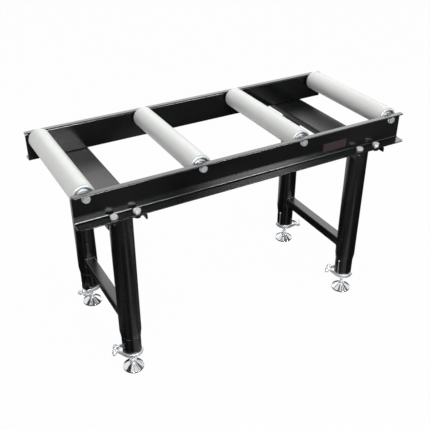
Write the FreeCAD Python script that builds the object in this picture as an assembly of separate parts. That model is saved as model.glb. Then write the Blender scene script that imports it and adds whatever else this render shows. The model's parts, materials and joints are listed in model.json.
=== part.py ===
import FreeCAD, Part
import math
import os

# Roller table: four free rollers between two steel side channels, on four legs that draw out.
# Millimetres. The origin lies on the floor under the middle of the table. X runs along the table,
# Y from the front channel to the rear one, and Z points up.

# Side channels
TABLE_LENGTH = 1000.0
CHANNEL_TOP = 616.5  # top flanges above the floor
CHANNEL_HEIGHT = 81.5
CHANNEL_WALL = 3.0
CHANNEL_BEND = 4.5  # outer radius of the bend of the top flange
CHANNEL_EDGE = 2.5  # outer radius of the lower corner
CHANNEL_FILLET = 4.5  # inner radius of the lower corner
CHANNEL_TOP_FILLET = 1.2  # inner radius under the top flange, clear of the washers
TOP_FLANGE = 19.0  # from the inner face of the web to the edge
BOTTOM_FLANGE = 35.0
TOP_FLANGE_CORNER = 7.0
BOTTOM_FLANGE_CORNER = 10.0

# Rollers
ROLLER_PITCH = 310.0
ROLLER_MARGIN = 34.0  # least distance from a roller axis to the end of the table
ROLLER_DROP = 16.5  # roller axis below the top flanges
ROLLER_DIAMETER = 60.0
ROLLER_WALL = 3.0
ROLLER_LENGTH = 360.0
ROLLER_END_GAP = 10.0  # between the end of a roller and the web beside it
CAP_LIP = 1.2  # part of the end cap that covers the end of the tube
CAP_EDGE = 0.6  # step from the tube's edge in to the lip
CAP_GROOVE = 51.0  # diameter of the bottom of the groove in the cap's face
CAP_GROOVE_DEPTH = 1.0  # below the end of the tube
CAP_GROOVE_ROUND = 1.2
CAP_HUB = 0.8  # rise of the cap's face at its middle beyond the end of the tube
CAP_MOUTH = 31.0  # diameter of the opening in the hub
BEARING_OUTER = 42.0
BEARING_WIDTH = 12.0
BEARING_RECESS = 5.0  # bearing face behind the end of the tube
RACE_OUTER = 35.0  # inside diameter of the outer ring
RACE_INNER = 28.0  # outside diameter of the inner ring
SHIELD = 1.0

# Axles and their bolts
AXLE_DIAMETER = 20.0
AXLE_SHOULDER = 25.0  # diameter between the bearings
SPACER_DIAMETER = 26.0
AXLE_BOLT_DEPTH = 25.0  # in the end of the axle
WASHER_DIAMETER = 21.0
WASHER_THICKNESS = 2.0

# Bolts and nuts of the frame, all of one thread
THREAD = 10.0
FLATS = 17.0
HEAD_HEIGHT = 6.5
NUT_HEIGHT = 8.0
BOLT_HOLE = 11.0
BOLT_END = 3.0  # thread that stands out of a nut

# Cross-members under the side channels
CROSS_WIDTH = 104.0
CROSS_HEIGHT = 18.0
CROSS_WALL = 4.0
CROSS_BEND = 8.0
CROSS_INSET = 3.0  # ends inside the edges of the bottom flanges
LEG_BOLT_PITCH = 60.0
LEG_BOLT_INSET = 16.0  # from the edge of the bottom flange

# Legs
LEG_OVERHANG = 123.5  # end of the table to the leg axis
LEG_INSET = 20.5  # web to the leg axis
LEG_WALL = 3.2
LEG_END = 125.0  # lower end of the outer tube above the floor
LEG_TAPER = 18.0
LEG_TIP_WALL = 0.7
SLEEVE_DIAMETER = 54.5
SLEEVE_WALL = 2.7
SLEEVE_END = 64.0  # lower end of the sleeve above the floor
SLEEVE_LENGTH = 150.0
SLIT_WIDTH = 2.5
SLIT_HOLE = 7.0
SLIT_LENGTH = 57.0
SLIT_TURN = 15.0  # degrees from facing the middle of the table towards the front

# Stretchers between a front leg and a rear leg
STRETCHER_SIZE = 30.0
STRETCHER_WALL = 2.0
STRETCHER_CORNER = 4.0
STRETCHER_HEIGHT = 173.0  # middle of the bar above the floor

# Clamp straps round the slit ends of the sleeves
CLAMP_HEIGHT = 12.0
CLAMP_WALL = 4.0
CLAMP_RISE = 3.0  # middle of the strap above the end of the sleeve
CLAMP_GAP = 10.0  # between the two ears
CLAMP_REACH = 55.5  # leg axis to the ends of the ears
CLAMP_EAR = 14.0  # straight length of each ear
CLAMP_EAR_CORNER = 5.0
CLAMP_THREAD = 8.0
CLAMP_FLATS = 13.0
CLAMP_HEAD = 5.5
CLAMP_NUT = 6.5
CLAMP_BOLT_END = 9.0
# Turn of the ears from the X axis
CLAMP_TURN = {"front_left": 152.0, "front_right": 128.0, "rear_left": -140.0, "rear_right": -28.0}  # degrees

# Drawn-out tubes with their threaded plugs
EXTENSION_WALL = 2.5
EXTENSION_LENGTH = 400.0
PLUG_LENGTH = 25.0
PLUG_FLANGE = 4.0

# Levelling feet
SPINDLE_THREAD = 12.0
SPINDLE_FLATS = 19.0
SPINDLE_LENGTH = 115.0  # above the foot
SPINDLE_HEX = 8.5
SPINDLE_NECK = 9.0
LOCK_NUT_HEIGHT = 7.0
BALL_DIAMETER = 14.0
BALL_HEIGHT = 12.5  # middle of the ball above the floor
FOOT_DIAMETER = 60.0
FOOT_HEIGHT = 21.0
FOOT_RIM = 5.5  # top of the upright rim above the floor
FOOT_TOP = 21.0  # diameter of the top of the cone
FOOT_MOUTH = 11.0  # opening round the neck of the spindle
SOLE_THICKNESS = 3.0
SOLE_SHOW = 1.0  # part of the sole below the metal
SOLE_INSET = 3.0  # from the edge of the foot

# Clearances, on the radius
WELD_FIT = 0.1
SLIDE_FIT = 0.3
RUN_FIT = 0.3
THREAD_FIT = 0.05
SEAT_GAP = 0.1

# Sizes worked out from those above
CHANNEL_GAP = ROLLER_LENGTH + 2 * ROLLER_END_GAP  # between the inner faces of the two webs
HALF_GAP = CHANNEL_GAP / 2
WEB_FACE = HALF_GAP + CHANNEL_WALL
CHANNEL_BASE = CHANNEL_TOP - CHANNEL_HEIGHT
AXLE_HEIGHT = CHANNEL_TOP - ROLLER_DROP
ROLLER_BORE = ROLLER_DIAMETER / 2 - ROLLER_WALL
BEARING_FACE = ROLLER_LENGTH / 2 - BEARING_RECESS
FLANGE_EDGE = HALF_GAP + BOTTOM_FLANGE
LEG_BOLT_Y = FLANGE_EDGE - LEG_BOLT_INSET
LEG_TOP = CHANNEL_BASE - CROSS_WALL
SLEEVE_RADIUS = SLEEVE_DIAMETER / 2
SLEEVE_BORE = SLEEVE_RADIUS - SLEEVE_WALL
LEG_BORE = SLEEVE_RADIUS + WELD_FIT
LEG_RADIUS = LEG_BORE + LEG_WALL
EXTENSION_RADIUS = SLEEVE_BORE - SLIDE_FIT
EXTENSION_BORE = EXTENSION_RADIUS - EXTENSION_WALL
PLUG_BASE = SLEEVE_END - PLUG_FLANGE
CLAMP_HEIGHT_MIDDLE = SLEEVE_END + CLAMP_RISE
CLAMP_BOLT_REACH = CLAMP_REACH - CLAMP_EAR / 2
THREAD_RADIUS = THREAD / 2
SPINDLE_RADIUS = SPINDLE_THREAD / 2
FOOT_BASE = SOLE_SHOW
ROLLER_COUNT = int((TABLE_LENGTH - 2 * ROLLER_MARGIN) // ROLLER_PITCH) + 1
ROLLER_X = [ROLLER_PITCH * (i - (ROLLER_COUNT - 1) / 2) for i in range(ROLLER_COUNT)]
LEG_PITCH_X = TABLE_LENGTH - 2 * LEG_OVERHANG
LEG_PITCH_Y = CHANNEL_GAP - 2 * LEG_INSET
LEGS = {
    "front_left": (-LEG_PITCH_X / 2, -LEG_PITCH_Y / 2),
    "front_right": (LEG_PITCH_X / 2, -LEG_PITCH_Y / 2),
    "rear_left": (-LEG_PITCH_X / 2, LEG_PITCH_Y / 2),
    "rear_right": (LEG_PITCH_X / 2, LEG_PITCH_Y / 2),
}
ENDS = {"front": -1, "rear": 1}
ORIGIN = FreeCAD.Vector(0, 0, 0)
X_AXIS = FreeCAD.Vector(1, 0, 0)
Y_AXIS = FreeCAD.Vector(0, 1, 0)
Z_AXIS = FreeCAD.Vector(0, 0, 1)


def outline(corners):
    """Closed wire in the XY plane through corners (x, y, radius), each rounded to its radius."""
    points = [FreeCAD.Vector(x, y, 0) for x, y, radius in corners]
    stretches = []
    for i, (x, y, radius) in enumerate(corners):
        corner = points[i]
        before = (points[i - 1] - corner).normalize()
        after = (points[(i + 1) % len(points)] - corner).normalize()
        half = before.getAngle(after) / 2
        cut = radius / math.tan(half)
        middle = corner
        if radius:
            middle = corner + (before + after).normalize() * (radius / math.sin(half) - radius)
        stretches.append((corner + before * cut, middle, corner + after * cut))
    edges = []
    for i, (start, middle, end) in enumerate(stretches):
        if corners[i][2]:
            edges.append(Part.Arc(start, middle, end).toShape())
        following = stretches[(i + 1) % len(stretches)][0]
        edges.append(Part.makeLine(end, following))
    return Part.Wire(edges)


def extruded(corners, length):
    """Prism on the XY plane with the given outline."""
    return Part.Face(outline(corners)).extrude(Z_AXIS * length)


def turned(corners):
    """Solid of revolution about Z from corners (radius, height, rounding)."""
    solid = Part.Face(outline(corners)).revolve(ORIGIN, Y_AXIS, 360)
    return solid.rotate(ORIGIN, X_AXIS, 90)


def ring(outer, inner, low, high):
    """Plain ring or tube about Z, from its radii and its two end heights."""
    return turned([(inner, low, 0), (outer, low, 0), (outer, high, 0), (inner, high, 0)])


def rod(radius, low, high):
    """Cylinder about Z between two heights."""
    return Part.makeCylinder(radius, high - low, FreeCAD.Vector(0, 0, low))


def hexagon(flats, height):
    """Hexagonal prism on the XY plane with its upper corners turned off at 30 degrees."""
    corner = flats / math.sqrt(3)
    turns = [math.radians(60 * i) for i in range(6)]
    prism = extruded([(corner * math.cos(turn), corner * math.sin(turn), 0) for turn in turns], height)
    chamfer = (corner - flats / 2) * math.tan(math.radians(30))
    limit = turned([
        (0, 0, 0),
        (corner, 0, 0),
        (corner, height - chamfer, 0),
        (flats / 2, height, 0),
        (0, height, 0),
    ])
    return prism.common(limit)


def hex_bolt(thread, flats, head, length):
    """Bolt along Z, with the underside of its head at the origin."""
    return hexagon(flats, head).fuse(rod(thread / 2, -length, head / 2)).removeSplitter()


def hex_nut(thread, flats, height):
    """Nut on the XY plane."""
    return hexagon(flats, height).cut(rod(thread / 2 + THREAD_FIT, -height, 2 * height))


def placed(shape, x, y, z, direction=Z_AXIS):
    """Copy of a shape made along Z, turned to a direction and moved."""
    copy = shape.copy()
    move = FreeCAD.Placement(FreeCAD.Vector(x, y, z), FreeCAD.Rotation(Z_AXIS, direction))
    copy.Placement = move.multiply(shape.Placement)
    return copy


def write(name, shapes):
    """One file per node. A list of shapes becomes a group of separate solids."""
    shape = Part.makeCompound(shapes) if isinstance(shapes, list) else shapes
    shape.exportStep("parts/" + name + ".step")


def leg_bolt_places():
    """Places in X and Y of the bolts that hold the cross-members to the bottom flanges."""
    return [
        (leg_side * LEG_PITCH_X / 2 + bolt_side * LEG_BOLT_PITCH / 2, end * LEG_BOLT_Y)
        for leg_side in (-1, 1)
        for bolt_side in (-1, 1)
        for end in ENDS.values()
    ]


def side_channel():
    """Rear channel: a web with a narrow top flange and a wide bottom flange, both outwards."""
    section = [
        (0, 0, CHANNEL_EDGE),
        (BOTTOM_FLANGE, 0, 0),
        (BOTTOM_FLANGE, CHANNEL_WALL, 0),
        (CHANNEL_WALL, CHANNEL_WALL, CHANNEL_FILLET),
        (CHANNEL_WALL, CHANNEL_HEIGHT - CHANNEL_WALL, CHANNEL_TOP_FILLET),
        (TOP_FLANGE, CHANNEL_HEIGHT - CHANNEL_WALL, 0),
        (TOP_FLANGE, CHANNEL_HEIGHT, 0),
        (0, CHANNEL_HEIGHT, CHANNEL_BEND),
    ]
    channel = extruded(section, TABLE_LENGTH)
    tips = [(BOTTOM_FLANGE, BOTTOM_FLANGE_CORNER), (TOP_FLANGE, TOP_FLANGE_CORNER)]
    for reach, radius in tips:
        corners = [
            edge
            for edge in channel.Edges
            if all(abs(v.X - reach) < SEAT_GAP for v in edge.Vertexes)
            and abs(edge.Vertexes[0].Z - edge.Vertexes[-1].Z) < SEAT_GAP
        ]
        channel = channel.makeFillet(radius, corners)
    channel.rotate(ORIGIN, FreeCAD.Vector(1, 1, 1), 120)
    channel.translate(FreeCAD.Vector(-TABLE_LENGTH / 2, HALF_GAP, CHANNEL_BASE))
    holes = [placed(rod(BOLT_HOLE / 2, 0, CHANNEL_GAP), x, 0, AXLE_HEIGHT, Y_AXIS) for x in ROLLER_X]
    for x, y in leg_bolt_places():
        if y > 0:
            holes.append(placed(rod(BOLT_HOLE / 2, -CHANNEL_WALL, 2 * CHANNEL_WALL), x, y, CHANNEL_BASE))
    return channel.cut(holes)


def cross_member(x):
    """Wide shallow channel, open below, that ties the two side channels and carries two legs."""
    half = CROSS_WIDTH / 2
    section = [
        (-half, -CROSS_HEIGHT, 0),
        (-half + CROSS_WALL, -CROSS_HEIGHT, 0),
        (-half + CROSS_WALL, -CROSS_WALL, CROSS_BEND - CROSS_WALL),
        (half - CROSS_WALL, -CROSS_WALL, CROSS_BEND - CROSS_WALL),
        (half - CROSS_WALL, -CROSS_HEIGHT, 0),
        (half, -CROSS_HEIGHT, 0),
        (half, 0, CROSS_BEND),
        (-half, 0, CROSS_BEND),
    ]
    length = 2 * (FLANGE_EDGE - CROSS_INSET)
    member = extruded(section, length).rotate(ORIGIN, X_AXIS, 90)
    member.translate(FreeCAD.Vector(x, length / 2, CHANNEL_BASE))
    holes = [
        placed(rod(BOLT_HOLE / 2, -2 * CROSS_WALL, CROSS_WALL), bolt_x, bolt_y, CHANNEL_BASE)
        for bolt_x, bolt_y in leg_bolt_places()
        if abs(bolt_x - x) < LEG_BOLT_PITCH
    ]
    return member.cut(holes)


def stretcher(x):
    """Square tube along Y whose ends are cut to the round of the two legs."""
    def square(size, corner):
        half = size / 2
        corners = [(-half, -half, corner), (half, -half, corner), (half, half, corner), (-half, half, corner)]
        return extruded(corners, LEG_PITCH_Y)

    inner = STRETCHER_SIZE - 2 * STRETCHER_WALL
    tube = square(STRETCHER_SIZE, STRETCHER_CORNER).cut(square(inner, STRETCHER_CORNER - STRETCHER_WALL))
    tube.rotate(ORIGIN, X_AXIS, 90)
    tube.translate(FreeCAD.Vector(x, LEG_PITCH_Y / 2, STRETCHER_HEIGHT))
    legs = [
        placed(rod(LEG_RADIUS, -STRETCHER_SIZE, STRETCHER_SIZE), x, end * LEG_PITCH_Y / 2, STRETCHER_HEIGHT)
        for end in ENDS.values()
    ]
    return tube.cut(legs)


def leg_tube():
    """Outer tube of a leg, with the outside of its lower end turned down towards the sleeve."""
    return turned([
        (LEG_BORE, LEG_END, 0),
        (LEG_BORE + LEG_TIP_WALL, LEG_END, 0),
        (LEG_RADIUS, LEG_END + LEG_TAPER, LEG_TAPER / 3),
        (LEG_RADIUS, LEG_TOP, 0),
        (LEG_BORE, LEG_TOP, 0),
    ])


def leg_sleeve(side):
    """Tube fixed in the end of the outer tube. Its lower end is slit up to a round hole."""
    tube = ring(SLEEVE_RADIUS, SLEEVE_BORE, SLEEVE_END, SLEEVE_END + SLEEVE_LENGTH)
    top = SLEEVE_END + SLIT_LENGTH
    slit = Part.makeBox(SLEEVE_DIAMETER, SLIT_WIDTH, SLIT_LENGTH + SLIT_WIDTH,
                        FreeCAD.Vector(0, -SLIT_WIDTH / 2, SLEEVE_END - SLIT_WIDTH))
    hole = Part.makeCylinder(SLIT_HOLE / 2, SLEEVE_DIAMETER, FreeCAD.Vector(0, 0, top), X_AXIS)
    turn = -SLIT_TURN if side < 0 else 180 + SLIT_TURN
    return tube.cut([cutter.rotate(ORIGIN, Z_AXIS, turn) for cutter in (slit, hole)])


def clamp_strap():
    """Strap bent round the sleeve, with tangent arms that end in two ears along +X."""
    inner = SLEEVE_RADIUS + WELD_FIT
    outer = inner + CLAMP_WALL
    bend = CLAMP_REACH - CLAMP_EAR

    def side(radius, half):
        lean = math.atan2(half, bend) + math.acos(radius / math.hypot(bend, half))
        return FreeCAD.Vector(radius * math.cos(lean), radius * math.sin(lean), 0)

    half_in = CLAMP_GAP / 2
    half_out = half_in + CLAMP_WALL
    outside = side(outer, half_out)
    inside = side(inner, half_in)

    def flipped(point):
        return FreeCAD.Vector(point.x, -point.y, 0)

    def spot(x, y):
        return FreeCAD.Vector(x, y, 0)

    edges = [
        Part.makeLine(spot(CLAMP_REACH, half_out), spot(bend, half_out)),
        Part.makeLine(spot(bend, half_out), outside),
        Part.Arc(outside, spot(-outer, 0), flipped(outside)).toShape(),
        Part.makeLine(flipped(outside), spot(bend, -half_out)),
        Part.makeLine(spot(bend, -half_out), spot(CLAMP_REACH, -half_out)),
        Part.makeLine(spot(CLAMP_REACH, -half_out), spot(CLAMP_REACH, -half_in)),
        Part.makeLine(spot(CLAMP_REACH, -half_in), spot(bend, -half_in)),
        Part.makeLine(spot(bend, -half_in), flipped(inside)),
        Part.Arc(flipped(inside), spot(-inner, 0), inside).toShape(),
        Part.makeLine(inside, spot(bend, half_in)),
        Part.makeLine(spot(bend, half_in), spot(CLAMP_REACH, half_in)),
        Part.makeLine(spot(CLAMP_REACH, half_in), spot(CLAMP_REACH, half_out)),
    ]
    strap = Part.Face(Part.Wire(edges)).extrude(Z_AXIS * CLAMP_HEIGHT)
    tips = [
        edge
        for edge in strap.Edges
        if all(abs(v.X - CLAMP_REACH) < SEAT_GAP for v in edge.Vertexes)
        and abs(edge.Vertexes[0].Z - edge.Vertexes[-1].Z) < SEAT_GAP
    ]
    strap = strap.makeFillet(CLAMP_EAR_CORNER, tips)
    strap.translate(FreeCAD.Vector(0, 0, -CLAMP_HEIGHT / 2))
    bore = Part.makeCylinder(CLAMP_THREAD / 2 + RUN_FIT, 2 * CLAMP_REACH,
                             FreeCAD.Vector(CLAMP_BOLT_REACH, -CLAMP_REACH, 0), Y_AXIS)
    return strap.cut(bore)


def clamp_bolt():
    """Bolt through the two ears, with its head on the -Y ear."""
    face = CLAMP_GAP / 2 + CLAMP_WALL
    length = 2 * face + CLAMP_NUT + CLAMP_BOLT_END
    bolt = hex_bolt(CLAMP_THREAD, CLAMP_FLATS, CLAMP_HEAD, length)
    return placed(bolt, CLAMP_BOLT_REACH, -face, 0, -Y_AXIS)


def clamp_nut():
    """Nut on the +Y ear."""
    face = CLAMP_GAP / 2 + CLAMP_WALL
    return placed(hex_nut(CLAMP_THREAD, CLAMP_FLATS, CLAMP_NUT), CLAMP_BOLT_REACH, face, 0, Y_AXIS)


def on_clamp(shape, leg):
    """Copy of a clamp piece turned to the leg's own angle and moved to its height."""
    x, y = LEGS[leg]
    copy = shape.copy()
    copy.rotate(ORIGIN, Z_AXIS, CLAMP_TURN[leg])
    copy.translate(FreeCAD.Vector(x, y, CLAMP_HEIGHT_MIDDLE))
    return copy


def extension_plug():
    """Threaded plug in the foot of the drawn-out tube; its flange stops against the sleeve."""
    bore = SPINDLE_RADIUS + THREAD_FIT
    body = EXTENSION_BORE - WELD_FIT
    flange = SLEEVE_RADIUS - SLIDE_FIT
    return turned([
        (bore, PLUG_BASE, 0),
        (flange, PLUG_BASE, 0),
        (flange, SLEEVE_END, 0),
        (body, SLEEVE_END, 0),
        (body, SLEEVE_END + PLUG_LENGTH, 0),
        (bore, SLEEVE_END + PLUG_LENGTH, 0),
    ])


def levelling_spindle():
    """Threaded spindle with a spanner hexagon and a ball that turns in the foot."""
    hex_base = FOOT_HEIGHT + SLIDE_FIT
    shaft = rod(SPINDLE_RADIUS, hex_base, FOOT_HEIGHT + SPINDLE_LENGTH)
    collar = placed(hexagon(SPINDLE_FLATS, SPINDLE_HEX), 0, 0, hex_base)
    neck = rod(SPINDLE_NECK / 2, BALL_HEIGHT, hex_base)
    ball = Part.makeSphere(BALL_DIAMETER / 2, FreeCAD.Vector(0, 0, BALL_HEIGHT))
    return ball.multiFuse([neck, collar, shaft]).removeSplitter()


def foot_pad():
    """Turned cone with an upright rim, a ball socket and a recess for the sole."""
    radius = FOOT_DIAMETER / 2
    recess = radius - SOLE_INSET + WELD_FIT
    cone = turned([
        (0, SOLE_THICKNESS, 0),
        (recess, SOLE_THICKNESS, 0),
        (recess, FOOT_BASE, 0),
        (radius, FOOT_BASE, 0),
        (radius, FOOT_RIM, SOLE_SHOW),
        (FOOT_TOP / 2, FOOT_HEIGHT - SOLE_SHOW, SOLE_SHOW),
        (FOOT_TOP / 2, FOOT_HEIGHT, 0),
        (0, FOOT_HEIGHT, 0),
    ])
    socket = Part.makeSphere(BALL_DIAMETER / 2 + RUN_FIT, FreeCAD.Vector(0, 0, BALL_HEIGHT))
    mouth = rod(FOOT_MOUTH / 2, BALL_HEIGHT, FOOT_HEIGHT + SOLE_SHOW)
    return cone.cut([socket, mouth])


def end_cap():
    """Turned cap in a roller's end: a lip over the tube, a groove, a low conical face and a bearing seat."""
    mouth = CAP_MOUTH / 2
    seat = BEARING_OUTER / 2 + THREAD_FIT
    body = ROLLER_BORE - THREAD_FIT
    lip = ROLLER_DIAMETER / 2 - CAP_EDGE
    return turned([
        (lip, CAP_LIP, CAP_LIP / 2),
        (ROLLER_BORE, CAP_LIP, CAP_LIP / 2),
        (CAP_GROOVE / 2, -CAP_GROOVE_DEPTH, CAP_GROOVE_ROUND),
        (mouth, CAP_HUB, CAP_LIP / 2),
        (mouth, -BEARING_RECESS, 0),
        (seat, -BEARING_RECESS, 0),
        (seat, -BEARING_RECESS - BEARING_WIDTH, 0),
        (body, -BEARING_RECESS - BEARING_WIDTH, 0),
        (body, 0, 0),
        (lip, 0, 0),
    ])


def bearing_outer_ring():
    """Outer ring with its two shields, whose inner edges run close to the inner ring."""
    outer = BEARING_OUTER / 2
    race = RACE_OUTER / 2
    gap = RACE_INNER / 2 + RUN_FIT
    return turned([
        (outer, 0, 0),
        (gap, 0, 0),
        (gap, -SHIELD, 0),
        (race, -SHIELD, 0),
        (race, SHIELD - BEARING_WIDTH, 0),
        (gap, SHIELD - BEARING_WIDTH, 0),
        (gap, -BEARING_WIDTH, 0),
        (outer, -BEARING_WIDTH, 0),
    ])


def roller_axle():
    """Axle along Z with a shoulder between the bearings and a bolt hole in each end."""
    shoulder = BEARING_FACE - BEARING_WIDTH
    shaft = rod(AXLE_DIAMETER / 2, -HALF_GAP, HALF_GAP).fuse(rod(AXLE_SHOULDER / 2, -shoulder, shoulder))
    bore = THREAD_RADIUS + THREAD_FIT
    depth = AXLE_BOLT_DEPTH + BOLT_END
    holes = [rod(bore, HALF_GAP - depth, HALF_GAP + depth), rod(bore, -HALF_GAP - depth, depth - HALF_GAP)]
    return shaft.removeSplitter().cut(holes)


def at_roller_ends(shape, distance):
    """Copies of a piece made along Z at both ends of every axle, facing outwards."""
    return [
        placed(shape, x, end * distance, AXLE_HEIGHT, Y_AXIS * end) for x in ROLLER_X for end in ENDS.values()
    ]


os.makedirs("parts", exist_ok=True)

# Frame
rear_channel = side_channel()
write("rear_side_channel", rear_channel)
write("front_side_channel", rear_channel.mirror(ORIGIN, Y_AXIS))
for side_name, side_sign in (("left", -1), ("right", 1)):
    write(side_name + "_cross_member", cross_member(side_sign * LEG_PITCH_X / 2))
    write(side_name + "_stretcher", stretcher(side_sign * LEG_PITCH_X / 2))
leg_bolt_length = CHANNEL_WALL + CROSS_WALL + NUT_HEIGHT + BOLT_END
leg_bolt = hex_bolt(THREAD, FLATS, HEAD_HEIGHT, leg_bolt_length)
leg_nut = hex_nut(THREAD, FLATS, NUT_HEIGHT)
write("leg_bolts", [placed(leg_bolt, x, y, CHANNEL_BASE + CHANNEL_WALL) for x, y in leg_bolt_places()])
write("leg_nuts", [placed(leg_nut, x, y, LEG_TOP, -Z_AXIS) for x, y in leg_bolt_places()])

# Legs, from the outer tube down to the sole
strap = clamp_strap()
strap_bolt = clamp_bolt()
strap_nut = clamp_nut()
write("leg_clamps", [on_clamp(strap, leg) for leg in LEGS])
write("clamp_bolts", [on_clamp(strap_bolt, leg) for leg in LEGS])
write("clamp_nuts", [on_clamp(strap_nut, leg) for leg in LEGS])
outer_tube = leg_tube()
extension = ring(EXTENSION_RADIUS, EXTENSION_BORE, SLEEVE_END, SLEEVE_END + EXTENSION_LENGTH)
plug = extension_plug()
spindle = levelling_spindle()
lock_nut = hex_nut(SPINDLE_THREAD, SPINDLE_FLATS, LOCK_NUT_HEIGHT)
pad = foot_pad()
sole = rod(FOOT_DIAMETER / 2 - SOLE_INSET, 0, SOLE_THICKNESS)
for leg_name, (leg_x, leg_y) in LEGS.items():
    write(leg_name + "_leg_tube", placed(outer_tube, leg_x, leg_y, 0))
    write(leg_name + "_leg_sleeve", placed(leg_sleeve(leg_x), leg_x, leg_y, 0))
    write(leg_name + "_extension_tube", placed(extension, leg_x, leg_y, 0))
    write(leg_name + "_extension_plug", placed(plug, leg_x, leg_y, 0))
    write(leg_name + "_levelling_spindle", placed(spindle, leg_x, leg_y, 0))
    write(leg_name + "_lock_nut", placed(lock_nut, leg_x, leg_y, PLUG_BASE - SEAT_GAP, -Z_AXIS))
    write(leg_name + "_foot_pad", placed(pad, leg_x, leg_y, 0))
    write(leg_name + "_foot_sole", placed(sole, leg_x, leg_y, 0))

# Axles with the pieces that stay still on them
axle = roller_axle()
write("roller_axles", [placed(axle, x, 0, AXLE_HEIGHT, Y_AXIS) for x in ROLLER_X])
spacer = ring(SPACER_DIAMETER / 2, AXLE_DIAMETER / 2 + THREAD_FIT, BEARING_FACE, HALF_GAP)
inner_ring = ring(RACE_INNER / 2, AXLE_DIAMETER / 2 + THREAD_FIT, -BEARING_WIDTH, 0)
washer = ring(WASHER_DIAMETER / 2, BOLT_HOLE / 2, 0, WASHER_THICKNESS)
axle_bolt = hex_bolt(THREAD, FLATS, HEAD_HEIGHT, WASHER_THICKNESS + CHANNEL_WALL + AXLE_BOLT_DEPTH)
write("axle_spacers", at_roller_ends(spacer, 0))
write("bearing_inner_rings", at_roller_ends(inner_ring, BEARING_FACE))
write("axle_washers", at_roller_ends(washer, WEB_FACE))
write("axle_bolts", at_roller_ends(axle_bolt, WEB_FACE + WASHER_THICKNESS))

# Rollers
tube_half = ROLLER_LENGTH / 2
roller_tube = ring(ROLLER_DIAMETER / 2, ROLLER_BORE, -tube_half, tube_half)
cap = end_cap()
outer_ring = bearing_outer_ring()
for number, roller_x in enumerate(ROLLER_X, 1):
    name = "roller_" + str(number)
    write(name + "_tube", placed(roller_tube, roller_x, 0, AXLE_HEIGHT, Y_AXIS))
    write(name + "_end_caps", [
        placed(cap, roller_x, end * tube_half, AXLE_HEIGHT, Y_AXIS * end) for end in ENDS.values()
    ])
    write(name + "_bearing_outer_rings", [
        placed(outer_ring, roller_x, end * BEARING_FACE, AXLE_HEIGHT, Y_AXIS * end) for end in ENDS.values()
    ])
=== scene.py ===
import json
import math
import bmesh
import bpy
import numpy as np
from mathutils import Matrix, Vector

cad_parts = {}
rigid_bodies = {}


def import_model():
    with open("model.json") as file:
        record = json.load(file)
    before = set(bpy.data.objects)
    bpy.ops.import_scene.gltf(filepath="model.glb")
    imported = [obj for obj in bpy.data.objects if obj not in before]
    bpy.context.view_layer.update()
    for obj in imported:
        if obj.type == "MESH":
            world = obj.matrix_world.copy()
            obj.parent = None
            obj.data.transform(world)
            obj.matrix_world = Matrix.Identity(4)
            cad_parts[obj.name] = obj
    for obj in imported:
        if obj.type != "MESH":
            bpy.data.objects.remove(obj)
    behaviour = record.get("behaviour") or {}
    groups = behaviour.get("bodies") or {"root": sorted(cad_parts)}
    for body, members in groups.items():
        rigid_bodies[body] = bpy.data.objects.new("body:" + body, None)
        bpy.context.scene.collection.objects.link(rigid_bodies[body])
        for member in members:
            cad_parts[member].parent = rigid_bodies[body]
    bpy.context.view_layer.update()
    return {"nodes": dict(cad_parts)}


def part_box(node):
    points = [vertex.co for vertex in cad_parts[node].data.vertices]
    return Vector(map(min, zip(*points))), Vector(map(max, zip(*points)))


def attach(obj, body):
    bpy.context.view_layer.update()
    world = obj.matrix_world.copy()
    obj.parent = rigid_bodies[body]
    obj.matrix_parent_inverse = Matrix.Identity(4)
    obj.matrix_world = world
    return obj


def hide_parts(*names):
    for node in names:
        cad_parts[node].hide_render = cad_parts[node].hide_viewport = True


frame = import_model()

# Side channels
# Two lengths of rolled steel channel with both flanges outwards, a narrow one on top and a wide one below.
# They are sprayed and stoved in gloss black enamel, and carry the axles and the cross-members on bolts.
MM = 0.001
SHEET = 3.0 * MM
TOP_BEND = 4.5 * MM  # outer radius of the bend under the rollers
CORNER = 2.5 * MM  # outer radius of the lower corner
FILLET = 4.5 * MM  # inner radius of the lower corner
TOP_FILLET = 1.2 * MM
TOP_FLANGE = 19.0 * MM
TOP_TOE = 2.2 * MM  # rounding of the top flange's outer edge
TOP_CORNER = 7.0 * MM
BOTTOM_CORNER = 10.0 * MM
ENAMEL_EDGE = 0.7 * MM  # radius that the paint gives to a cut edge
ARC_STEPS = 5  # along each rounded corner of an outline
END_STEPS = 7  # along each rounded corner of a bar's end
MERGE = 0.001 * MM
SHARP = math.radians(35)
ENAMEL_BLACK = "#050608"
ENAMEL_THIN = "#0a0c0e"  # where the coat is thinner
PEEL_WIDTH = 4.0 * MM  # orange-peel ripple of a sprayed coat
PEEL_DEPTH = 0.02 * MM
CLOUD_WIDTH = 90.0 * MM  # patches of a thinner or duller coat
COLOUR_A, COLOUR_B, COLOUR_OUT = 6, 7, 2  # numbers of a Mix node's colour sockets


def linear(code):
    """Linear colour of an sRGB hex value: v / 12.92 up to 0.04045, and ((v + 0.055) / 1.055) ** 2.4 above."""
    value = np.array([int(code[i:i + 2], 16) for i in (1, 3, 5)]) / 255
    value = np.where(value <= 0.04045, value / 12.92, ((value + 0.055) / 1.055) ** 2.4)
    return (*value.tolist(), 1.0)


def add(tree, kind, inputs=None, **settings):
    """Adds a node. Settings are its own properties; an input is a value, or an output to link."""
    made = tree.nodes.new("ShaderNode" + kind)
    for name, value in settings.items():
        setattr(made, name, value)
    for name, value in (inputs or {}).items():
        if isinstance(value, bpy.types.NodeSocket):
            tree.links.new(value, made.inputs[name])
        else:
            made.inputs[name].default_value = value
    return made


def material(name):
    """Empty material named for its finish, with its node tree and the object coordinates in it."""
    made = bpy.data.materials.new(name)
    made.use_nodes = True
    made.node_tree.nodes.clear()
    return made, made.node_tree, add(made.node_tree, "TexCoord").outputs["Object"]


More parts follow.
